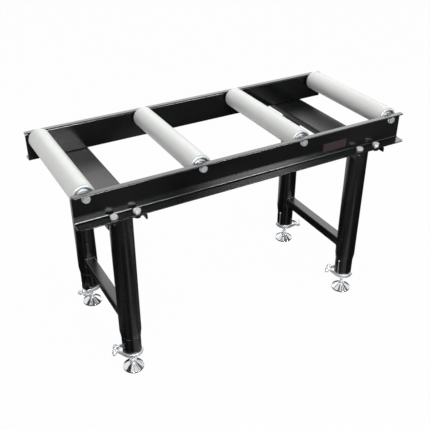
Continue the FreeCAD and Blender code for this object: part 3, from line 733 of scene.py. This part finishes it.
def satin_zinc(name, stretch):
    """Satin zinc plate: pale grey metal whose fine lines run along the axes on which stretch is small."""
    made, tree, place = material(name)
    lines = add(tree, "Mapping", {"Vector": place, "Scale": stretch})
    line = add(tree, "TexNoise", {
        "Vector": lines.outputs["Vector"], "Scale": 1 / SATIN_LINE, "Detail": 3.0,
    }).outputs["Fac"]
    colour = two_tone(tree, place, SATIN_CLOUD, 4.0, (SATIN_ZINC, SATIN_SHADE))[1]
    gloss = add(tree, "MapRange", {"Value": line, "To Min": 0.5, "To Max": 0.62})
    ripple = add(tree, "Bump", {"Height": line, "Strength": 0.2, "Distance": SATIN_LINE_DEPTH})
    surface(tree, {
        "Base Color": colour,
        "Metallic": SATIN_METAL,
        "Roughness": gloss.outputs["Result"],
        "Normal": ripple.outputs["Normal"],
    })
    return made


# Satin zinc on drawn tube: pale grey, with faint lines along the tube.
drawn_zinc = satin_zinc("drawn_satin_zinc", (1.0, 1.0, LINE_STRETCH))
for leg in LEGS:
    frame["nodes"][leg + "_extension_tube"].material_slots[0].material = drawn_zinc
    frame["nodes"][leg + "_extension_plug"].material_slots[0].material = bright_zinc

# Levelling spindles and lock nuts
# A threaded spindle with a spanner hexagon and a ball below it, and a nut that locks it against the plug.
# Turned and rolled steel, zinc plated.
SPINDLE_THREAD = 6.0 * MM  # radius
SPINDLE_PITCH = 1.75 * MM
SPINDLE_FLATS = 19.0 * MM
SPINDLE_HEX = 8.5 * MM
SPINDLE_NECK = 4.5 * MM  # radius
BALL = 7.0 * MM  # radius
BALL_STEPS = 17  # from its lowest point to the neck
SPINDLE_STEPS = 48  # round the ball
SPINDLE_CLEAR = 0.3 * MM  # from the foot to the hexagon
SPINDLE_OVERLAP = 1.0 * MM  # of the neck and the thread with the hexagon
SPINDLE_TURN = 0.4  # radians
LOCK_NUT_TURN = 0.9

for leg in LEGS:
    low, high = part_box(leg + "_levelling_spindle")
    nut_low, nut_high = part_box(leg + "_lock_nut")
    pad_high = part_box(leg + "_foot_pad")[1]
    axis = leg_place(leg)
    hex_low = pad_high.z + SPINDLE_CLEAR
    hex_high = hex_low + SPINDLE_HEX
    below = np.linspace(-np.pi / 2, math.acos(SPINDLE_NECK / BALL), BALL_STEPS)
    ball = np.stack([BALL * np.cos(below), low.z + BALL + BALL * np.sin(below)], -1)
    ball[0, 0] = 0
    neck_top = hex_low + SPINDLE_OVERLAP
    ball = np.vstack([ball, [[SPINDLE_NECK, neck_top], [0, neck_top]]])
    shells = [
        moved(hexagon(SPINDLE_FLATS, SPINDLE_HEX), axis + [0, 0, hex_low], turn=SPINDLE_TURN),
        moved(thread(SPINDLE_THREAD, SPINDLE_PITCH, hex_high - SPINDLE_OVERLAP, high.z), axis),
        lathe(ball, axis, SPINDLE_STEPS, loop=False),
    ]
    piece(leg + "_spindle_threaded", shells, bright_zinc, leg + "_spindle",
          [leg + "_levelling_spindle"])
    nut = hexagon(SPINDLE_FLATS, nut_high.z - nut_low.z, bore=SPINDLE_THREAD)
    nut = moved(nut, axis + [0, 0, nut_low.z], turn=LOCK_NUT_TURN)
    piece(leg + "_lock_nut_plated", [nut], bright_zinc, leg + "_spindle", [leg + "_lock_nut"])

# Feet
# A turned steel cone with an upright rim and a socket for the spindle's ball, polished and chrome plated.
# A black rubber sole is pressed into its underside.
FOOT_RIM = 5.5 * MM  # top of the rim above the floor
FOOT_TOP = 10.5 * MM  # radius of the flat top
FOOT_TOP_BAND = 1.0 * MM  # upright band below the flat top, and the rounding under it
FOOT_MOUTH = 5.6 * MM  # radius
FOOT_SOCKET = 6.0 * MM  # depth
FOOT_EDGE = 0.4 * MM
FOOT_RIM_EDGE = 0.5 * MM
FOOT_STEPS = 160
SOLE_INSET = 2.9 * MM
SOLE_EDGE = 0.5 * MM
SOLE_STEPS = 96
SOLE_BLACK = "#141414"
SOLE_GREY = "#26262a"
SOLE_GRIT = 1.2 * MM
SOLE_GRIT_DEPTH = 0.1 * MM

# Polished chrome plate: nearly a mirror.
chrome = chrome_plate("polished_chrome_plate", metallic=1.0, low=0.1, high=0.2)

# Moulded rubber: matt black, a little dusty, with a fine grit.
sole_rubber, tree, place = material("moulded_black_rubber")
grit, colour = two_tone(tree, place, SOLE_GRIT, 4.0, (SOLE_BLACK, SOLE_GREY))
ripple = add(tree, "Bump", {"Height": grit, "Strength": 0.5, "Distance": SOLE_GRIT_DEPTH})
surface(tree, {"Base Color": colour, "Roughness": 0.85, "Normal": ripple.outputs["Normal"]})

for leg in LEGS:
    low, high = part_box(leg + "_foot_pad")
    sole_low, sole_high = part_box(leg + "_foot_sole")
    axis = leg_place(leg)
    radius = (high.x - low.x) / 2
    recess = radius - SOLE_INSET
    cone = rounded([
        (0, sole_high.z, 0),
        (recess, sole_high.z, FINE_EDGE),
        (recess, low.z, SMALL_EDGE),
        (radius, low.z, FOOT_EDGE),
        (radius, FOOT_RIM, FOOT_RIM_EDGE),
        (FOOT_TOP, high.z - FOOT_TOP_BAND, FOOT_TOP_BAND),
        (FOOT_TOP, high.z, FOOT_EDGE),
        (FOOT_MOUTH, high.z, FOOT_EDGE),
        (FOOT_MOUTH, high.z - FOOT_SOCKET, FOOT_EDGE),
        (0, high.z - FOOT_SOCKET, 0),
    ])
    cone[:, 0] = cone[:, 0].clip(0)
    piece(leg + "_foot_cone", [lathe(cone, axis, FOOT_STEPS)], chrome, leg + "_foot",
          [leg + "_foot_pad"])
    tread = (sole_high.x - sole_low.x) / 2
    sole = rounded([
        (0, sole_low.z, 0),
        (tread, sole_low.z, SOLE_EDGE),
        (tread, sole_high.z, SMALL_EDGE),
        (0, sole_high.z, 0),
    ])
    piece(leg + "_sole_moulded", [lathe(sole, axis, SOLE_STEPS)], sole_rubber, leg + "_foot",
          [leg + "_foot_sole"])

# Rollers
# Four steel tubes, ground and satin zinc plated, that turn freely on bearings held in a turned cap at each
# end. The tube's ends are rolled over. A cap has a rim, a blue plated groove inside it and a collar round the
# bearing; the rim and the collar are in a paler zinc, a painted highlight on their rounded edges.
ROLLERS = (1, 2, 3, 4)
ROLLER_STEPS = 160
ROLLER_WALL = 3.0 * MM
ROLLER_EDGE = 2.6 * MM  # rounding of the tube's ends
CAP_CLEAR = 0.05 * MM  # between cap and tube
CAP_FACE = -ROLLER_EDGE / 4  # height of the cap's face under the rim
CAP_EDGE = 0.1 * MM
CAP_RIM = 28.6 * MM  # outer radius of the rim
CAP_RIM_MOUTH = 24.3 * MM  # inner radius of the rim
CAP_RIM_RISE = 1.2 * MM
CAP_RIM_SHOULDER = 0.75  # of the rise, at the rim's outer shoulder
CAP_RIM_ROUND = 1.0 * MM
CAP_RIM_EDGE = 0.5 * MM
CAP_RIM_SEAT = 0.3 * MM  # how far the rim reaches over the groove
CAP_GROOVE_DEPTH = 2.5 * MM
CAP_GROOVE_FILLET = 0.8 * MM
CAP_COLLAR = 16.8 * MM  # outer radius of the collar round the bearing
CAP_COLLAR_RISE = 1.0 * MM
CAP_COLLAR_ROUND = 0.6 * MM
CAP_COLLAR_EDGE = 0.4 * MM
CAP_COLLAR_SEAT = 0.2 * MM  # how far the collar reaches into the cap's mouth
CAP_MOUTH = 15.5 * MM  # radius
BEARING = 21.0 * MM  # radius
BEARING_RECESS = 5.0 * MM
BEARING_WIDTH = 12.0 * MM
ZINC_COLD = "#e6edf0"
ZINC_DEEP_BLUE = "#b8cdd7"

# Satin zinc on ground tube: pale grey, with faint lines round the roller.
turned_zinc = satin_zinc("turned_satin_zinc", (LINE_STRETCH, 1.0, LINE_STRETCH))
# Blue passivated zinc on turned steel: mirrors the dark webs with a cold tint.
blue_zinc = zinc_plate("blue_zinc_plate", ZINC_COLD, ZINC_DEEP_BLUE, metallic=0.8)


def at_ends(profile, y, axis, steps):
    """Two shells of revolution along Y, whose profile heights count outwards from -y and from y."""
    return [lathe(profile * [1, end] + [0, end * y], axis, steps, along_y=True) for end in (-1, 1)]


for number in ROLLERS:
    name = f"roller_{number}"
    low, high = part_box(name + "_tube")
    axis = np.array([(low.x + high.x) / 2, 0, (low.z + high.z) / 2])
    radius = (high.z - low.z) / 2
    bore = radius - ROLLER_WALL
    tube = rounded([
        (radius, low.y, ROLLER_EDGE),
        (radius, high.y, ROLLER_EDGE),
        (bore, high.y, SMALL_EDGE),
        (bore, low.y, SMALL_EDGE),
    ])
    shell = lathe(tube, axis, ROLLER_STEPS, along_y=True)
    piece(name + "_tube_ground", [shell], turned_zinc, name, [name + "_tube"])
    bed = -BEARING_RECESS
    cap = rounded([
        (bore - CAP_CLEAR, CAP_FACE, CAP_EDGE),
        (CAP_RIM_MOUTH + CAP_RIM_SEAT, CAP_FACE, CAP_EDGE),
        (CAP_RIM_MOUTH + CAP_RIM_SEAT, -CAP_GROOVE_DEPTH, CAP_GROOVE_FILLET),
        (CAP_MOUTH + CAP_COLLAR_SEAT, -CAP_GROOVE_DEPTH, CAP_EDGE),
        (CAP_MOUTH + CAP_COLLAR_SEAT, bed, CAP_EDGE),
        (BEARING, bed, CAP_EDGE),
        (BEARING, bed - BEARING_WIDTH, SMALL_EDGE),
        (bore - CAP_CLEAR, bed - BEARING_WIDTH, SMALL_EDGE),
    ])
    caps = at_ends(cap, high.y, axis, ROLLER_STEPS)
    piece(name + "_caps_turned", caps, blue_zinc, name, [name + "_end_caps"])
    # Rim and collar: the paler clear zinc is a painted highlight on their rounded edges.
    rim = rounded([
        (CAP_RIM, CAP_FACE, CAP_EDGE),
        (CAP_RIM - CAP_RIM_RISE, CAP_RIM_SHOULDER * CAP_RIM_RISE, CAP_RIM_ROUND),
        (CAP_RIM_MOUTH, CAP_RIM_RISE, CAP_RIM_EDGE),
        (CAP_RIM_MOUTH, -CAP_GROOVE_DEPTH, CAP_EDGE),
        (CAP_RIM_MOUTH + CAP_RIM_RISE, -CAP_GROOVE_DEPTH, CAP_EDGE),
    ])
    collar = rounded([
        (CAP_COLLAR, CAP_COLLAR_RISE, CAP_COLLAR_ROUND),
        (CAP_MOUTH, CAP_COLLAR_RISE, CAP_COLLAR_EDGE),
        (CAP_MOUTH, bed, CAP_EDGE),
        (CAP_COLLAR, bed, CAP_EDGE),
    ])
    rims = at_ends(rim, high.y, axis, ROLLER_STEPS) + at_ends(collar, high.y, axis, ROLLER_STEPS)
    piece(name + "_cap_rims", rims, clear_zinc, name)

# Axles, spacers and bearings
# A turned steel axle between the webs of each roller, with a spacer at each end that holds the ball bearings.
# Bare steel, left from the lathe or the grinding wheel, and lightly oiled.
STEEL_DARK = "#b4b4b8"
STEEL_LINE = 0.8 * MM
STEEL_STRETCH = 0.05  # scale of the pattern along its lines

# Turned bare steel: a darker grey than the plate, with bright lines round the axle.
bare_steel, tree, place = material("turned_bare_steel")
lines = add(tree, "Mapping", {"Vector": place, "Scale": (STEEL_STRETCH, 1.0, STEEL_STRETCH)})
line, colour = two_tone(tree, lines.outputs["Vector"], STEEL_LINE, 3.0, (STEEL_BARE, STEEL_DARK))
gloss = add(tree, "MapRange", {"Value": line, "To Min": 0.2, "To Max": 0.45})
surface(tree, {"Base Color": colour, "Metallic": 1.0, "Roughness": gloss.outputs["Result"]})
outer_rings = [f"roller_{number}_bearing_outer_rings" for number in ROLLERS]
for node in ("roller_axles", "axle_spacers", "bearing_inner_rings", *outer_rings):
    frame["nodes"][node].material_slots[0].material = bare_steel

# Axle bolts and washers
# One hexagon bolt and a flat washer hold each axle end to the web.
# Both are zinc plated: the bolts with a bluish tint, the punched washers clear.
WASHER = 10.5 * MM  # radius
WASHER_THICK = 2.0 * MM
WASHER_ROUND = 0.6 * MM  # of the punched face
WASHER_STEPS = 64
AXLE_HEAD_TURN = 0.5  # radians from one roller to the next

web_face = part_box("rear_side_channel")[0].y + SHEET
washer = rounded([
    (THREAD, 0, FINE_EDGE),
    (WASHER, 0, SMALL_EDGE),
    (WASHER, WASHER_THICK, WASHER_ROUND),
    (THREAD, WASHER_THICK, FINE_EDGE),
])
heads = []
washers = []
for number in ROLLERS:
    low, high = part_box(f"roller_{number}_tube")
    x = (low.x + high.x) / 2
    z = (low.z + high.z) / 2
    washers += at_ends(washer, web_face, (x, 0, z), WASHER_STEPS)
    for end in (-1, 1):
        rest = end * (web_face + WASHER_THICK)
        head = hexagon(FLATS, HEAD, upper_only=True)
        heads.append(moved(head, (x, rest, z), (0, end, 0), turn=AXLE_HEAD_TURN * number + end))
piece("axle_bolts_plated", heads, bright_zinc, "frame", ["axle_bolts"])
piece("axle_washers_plated", washers, clear_zinc, "frame", ["axle_washers"])

# Bare plate
# A small dark foil plate stuck to the front web near its right end, with nothing printed on it.
# It is punched with round corners, and its edge is slightly bevelled.
PLATE_MIDDLE = (266.0 * MM, 564.0 * MM)  # along the table and above the floor
PLATE_SIZE = (80.0 * MM, 24.0 * MM)
PLATE_THICK = 0.5 * MM
PLATE_CORNER = 2.0 * MM
PLATE_BEVEL = 0.3 * PLATE_THICK
PLATE_LAYERS = ((0.0, 0.0), (0.7, 0.0), (1.0, PLATE_BEVEL))  # share of the thickness, inset of the outline
PLATE_DARK = "#36262f"
PLATE_MAUVE = "#44303b"
PLATE_SPECK = 2.0 * MM

# Foil: satin, a dark mauve with a fine fleck.
plate_foil, tree, place = material("satin_dark_foil")
colour = two_tone(tree, place, PLATE_SPECK, 3.0, (PLATE_DARK, PLATE_MAUVE))[1]
surface(tree, {"Base Color": colour, "Roughness": 0.4, "Specular IOR Level": 0.3})

outline = rectangle(PLATE_SIZE[0] / 2, PLATE_SIZE[1] / 2, PLATE_CORNER)
edge = outward(outline)
foil = np.stack([
    np.stack([
        PLATE_MIDDLE[0] + outline[:, 0] - edge[:, 0] * inset,
        np.full(len(outline), -web_face - PLATE_THICK * rise),
        PLATE_MIDDLE[1] + outline[:, 1] - edge[:, 1] * inset,
    ], -1)
    for rise, inset in PLATE_LAYERS
])
piece("bare_plate", [bar(foil)], plate_foil, "frame")

# Floor, light and camera
# A pale studio floor, felt cards that only reflections show, soft boxes above, behind and in front, and a
# camera at the photograph's viewpoint. Places and sizes without a unit are in metres.
FLOOR_SIZE = 30.0
FLOOR_DROP = 0.2 * MM
FLOOR_WHITE = "#f4f4f4"
FLOOR_GLOW = 0.97  # share of plain white in the floor; the rest shows the shadow
SKY_LIGHT = 0.55  # of plain white, as soft light from all round
WHITE = (1, 1, 1, 1)
CAMERA_PLACE = (-843.8 * MM, -1486.3 * MM, 1377.4 * MM)
CAMERA_PITCH = -32.03  # degrees
CAMERA_YAW = 29.22
CAMERA_FOCAL = 656.02  # pixels
IMAGE_WIDTH = 430.0  # pixels
SENSOR = 36.0  # millimetres, as a camera's sensor is given

scene = bpy.context.scene
scene.view_settings.view_transform = "Standard"


def level(x, y, z):
    """Corners of a level rectangle between two values of x and two of y, at one height."""
    return [(x[0], y[0], z), (x[1], y[0], z), (x[1], y[1], z), (x[0], y[1], z)]


def looked_at(tree):
    """1 for rays from the eye, off a mirror or through glass, and 0 for soft light: the largest of three
    Light Path outputs."""
    rays = add(tree, "LightPath").outputs
    seen = add(tree, "Math", {0: rays["Is Camera Ray"], 1: rays["Is Glossy Ray"]}, operation="MAXIMUM")
    seen = add(tree, "Math", {0: seen.outputs["Value"], 1: rays["Is Transmission Ray"]}, operation="MAXIMUM")
    return seen.outputs["Value"]


floor_mesh = bpy.data.meshes.new("floor")
span = (-FLOOR_SIZE / 2, FLOOR_SIZE / 2)
floor_mesh.from_pydata(level(span, span, 0), [], [(0, 1, 2, 3)])
floor = bpy.data.objects.new("floor", floor_mesh)
floor.location.z = -FLOOR_DROP
scene.collection.objects.link(floor)
# Painted studio floor: nearly the white of the background, with a faint shadow.
floor_white, tree = material("studio_floor")[:2]
share = add(tree, "Math", {0: looked_at(tree), 1: FLOOR_GLOW}, operation="MULTIPLY")
matt = add(tree, "BsdfDiffuse", {"Color": linear(FLOOR_WHITE)})
glow = add(tree, "Emission", {"Color": WHITE, "Strength": 1.0})
mixed = add(tree, "MixShader", {
    0: share.outputs["Value"], 1: matt.outputs["BSDF"], 2: glow.outputs["Emission"],
})
add(tree, "OutputMaterial", {"Surface": mixed.outputs["Shader"]})
floor_mesh.materials.append(floor_white)

world = bpy.data.worlds.new("studio")
scene.world = world
world.use_nodes = True
tree = world.node_tree
tree.nodes.clear()
strength = add(tree, "MapRange", {"Value": looked_at(tree), "To Min": SKY_LIGHT, "To Max": 1.0})
sky = add(tree, "Background", {"Color": WHITE, "Strength": strength.outputs["Result"]})
add(tree, "OutputWorld", {"Surface": sky.outputs["Background"]})

# Felt cards: mats under and in front of the table, wedges on the floor and strips overhead keep the enamel
# deep, and give the polished metal its streaks.
FELT_DRIFT = 0.35
FELTS = {  # darkest and lightest shade
    "pale_felt": ("#e6e6e6", "#f0f0f0"),
    "mid_felt": ("#808080", "#909090"),
    "grey_felt": ("#404040", "#9c9c9c"),
    "dark_felt": ("#242424", "#3c3c3c"),
    "black_felt": ("#141414", "#1f1f1f"),
}
MAT_X = (-2.5, 2.5)
MATS = (("near_mat", "dark_felt", (-0.92, 0.45)), ("far_mat", "grey_felt", (-2.6, -0.92)))  # with spans in y
MAT_RISE = 0.2 * MM
FOOT_MAT = 60.0 * MM  # half the side of a mat under a foot, which keeps its rim dark
FOOT_MAT_RISE = 1.0 * MM
POOL_NEAR = 0.1  # start and end of a wedge, from its foot
POOL_FAR = 0.75
POOL_SPREAD = math.radians(9)
POOL_RISE = 2 * MAT_RISE
POOLS = ((-0.04, -1.99, "pale_felt"), (-1.76, -1.36, "mid_felt"))  # where the wedges of each foot point
CEILING = 3.2
CEILING_Y = (-2.2, 1.4)  # front and back of the strips
STRIPS = ((-4.5, -2.3), (-1.05, -0.6), (0.1, 0.5), (1.1, 1.7), (2.4, 4.5))  # their spans in x


def felt(name, shades):
    """Matt felt whose shade drifts over a few hand's widths."""
    made, tree, place = material(name)
    colour = two_tone(tree, place, FELT_DRIFT, 1.0, shades, CLOUDY)[1]
    surface(tree, {"Color": colour}, "BsdfDiffuse")
    return made


def card(name, finish, corners):
    """Flat card through four corners that only reflections show."""
    mesh = bpy.data.meshes.new(name)
    mesh.from_pydata(corners, [], [(0, 1, 2, 3)])
    mesh.materials.append(finish)
    made = bpy.data.objects.new(name, mesh)
    made.visible_camera = False
    made.visible_diffuse = False
    made.visible_transmission = False
    made.visible_shadow = False
    scene.collection.objects.link(made)


felts = {name: felt(name, shades) for name, shades in FELTS.items()}
for name, finish, span in MATS:
    card(name, felts[finish], level(MAT_X, span, MAT_RISE))
for leg in LEGS:
    foot_x, foot_y = leg_place(leg)[:2]
    spans = [(middle - FOOT_MAT, middle + FOOT_MAT) for middle in (foot_x, foot_y)]
    card(f"foot_mat_{leg}", felts["black_felt"], level(*spans, FOOT_MAT_RISE))
    for number, (x, y, finish) in enumerate(POOLS):
        turn = math.atan2(y - foot_y, x - foot_x)
        ends = ((POOL_NEAR, -1), (POOL_FAR, -1), (POOL_FAR, 1), (POOL_NEAR, 1))
        places = [(far, turn + lean * POOL_SPREAD) for far, lean in ends]
        rise = POOL_RISE + number * MAT_RISE
        card(f"floor_pool_{number}_{leg}", felts[finish], [
            (foot_x + far * math.cos(angle), foot_y + far * math.sin(angle), rise) for far, angle in places
        ])
for number, span in enumerate(STRIPS):
    card(f"ceiling_strip_{number}", felts["black_felt"], level(span, CEILING_Y, CEILING))

# Soft boxes: a wide one above gives the soft light, one behind gives the flanges and the rollers their sheen,
# and two low ones in front draw the bright lines along the folds.
TABLE = (0, 0, 0.58)  # the point that they face


def soft_box(name, place, size, radiance, mirrored):
    """Rectangular area lamp at a place, turned to face the table; watts = radiance times pi times area.
    A mirrored box shows only as a highlight on gloss; the others give only soft light."""
    data = bpy.data.lights.new(name, "AREA")
    data.shape = "RECTANGLE"
    data.size, data.size_y = size
    data.energy = radiance * math.pi * size[0] * size[1]
    made = bpy.data.objects.new(name, data)
    made.location = place
    made.visible_camera = False
    made.visible_diffuse = not mirrored
    made.visible_glossy = mirrored
    made.rotation_euler = (made.location - Vector(TABLE)).to_track_quat("Z", "Y").to_euler()
    scene.collection.objects.link(made)
    return made


soft_box("top_box", place=(-0.3, -1.3, 2.7), size=(2.6, 2.2), radiance=1.6, mirrored=False)
soft_box("back_box", place=(1.3, 2.4, 2.25), size=(4.4, 1.7), radiance=2.2, mirrored=True)
key_box = soft_box("key_box", place=(-0.55, -2.45, 1.55), size=(2.3, 0.42), radiance=88.0, mirrored=True)
side_box = soft_box("side_box", place=(1.3, -2.3, 1.6), size=(0.6, 0.5), radiance=48.0, mirrored=True)

# The front boxes are for the enamel: the roller tubes, the caps inside their rims, the drawn-out tubes, and
# the axle bolts and washers are left out of their light, or they would glare.
pale_pieces = bpy.data.collections.new("pale_pieces")
for number in ROLLERS:
    pale_pieces.objects.link(bpy.data.objects[f"roller_{number}_tube_ground"])
    pale_pieces.objects.link(bpy.data.objects[f"roller_{number}_caps_turned"])
for leg in LEGS:
    pale_pieces.objects.link(frame["nodes"][leg + "_extension_tube"])
for name in ("axle_bolts_plated", "axle_washers_plated"):
    pale_pieces.objects.link(bpy.data.objects[name])
for entry in pale_pieces.collection_objects:
    entry.light_linking.link_state = "EXCLUDE"
for box in (key_box, side_box):
    box.light_linking.receiver_collection = pale_pieces

camera_data = bpy.data.cameras.new("camera")
camera_data.sensor_width = SENSOR
camera_data.lens = CAMERA_FOCAL * SENSOR / IMAGE_WIDTH
camera = bpy.data.objects.new("camera", camera_data)
camera.location = CAMERA_PLACE
camera.rotation_euler = (math.radians(90 + CAMERA_PITCH), 0, math.radians(-CAMERA_YAW))
scene.collection.objects.link(camera)
scene.camera = camera
